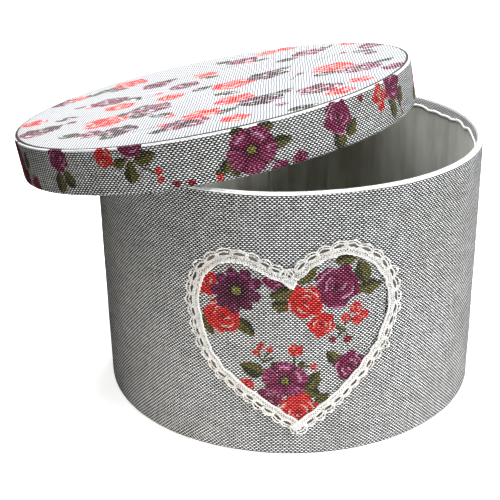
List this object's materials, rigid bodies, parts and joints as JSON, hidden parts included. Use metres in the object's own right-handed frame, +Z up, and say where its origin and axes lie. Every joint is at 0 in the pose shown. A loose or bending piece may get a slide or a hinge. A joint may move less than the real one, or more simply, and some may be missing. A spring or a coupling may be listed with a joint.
{
  "type": "hat box",
  "caption": "Round cloth-covered board hat box with a satin lining, a lace-edged floral heart and a loose padded floral lid lying askew on its rim.",
  "frame": {"origin": "the box's axis where it meets the underside, the face the box stands on", "axes": "+Z up along the box's axis, -Y towards the side with the heart; the lid lies shifted towards -X"},
  "size_m": [0.2932, 0.2627, 0.2056],
  "materials": {
    "greyboard": "matt, fibrous",
    "paper_tape": "matt",
    "plain_cloth": "linen-look plain weave, off-white",
    "printed_cloth": "linen-look plain weave with a printed rose pattern in magenta, coral and olive on off-white",
    "satin": "soft satin, ivory",
    "lace": "crocheted cotton edging, off-white",
    "wadding": "polyester wadding"
  },
  "bodies": {
    "box": {"wall_board": "greyboard", "floor_board": "greyboard", "wall_seam_tape": "paper_tape", "wall_cover": "plain_cloth", "base_cover": "plain_cloth", "wall_lining": "satin", "floor_card": "greyboard", "floor_lining": "satin", "heart_patch": "printed_cloth", "lace_left_lobe": "lace", "lace_right_lobe": "lace", "lace_left_side": "lace", "lace_right_side": "lace"},
    "lid": {"lid_board": "greyboard", "lid_rim_board": "greyboard", "lid_seam_tape": "paper_tape", "lid_padding": "wadding", "lid_top_cover": "printed_cloth", "lid_rim_cover": "printed_cloth", "lid_lining": "satin", "lid_rim_lining": "satin"}
  },
  "joints": [
    {"name": "lid_lift", "type": "slide", "parent": "box", "child": "lid", "axis": [0, 0, 1], "range_m": [0, 0.1]}
  ]
}
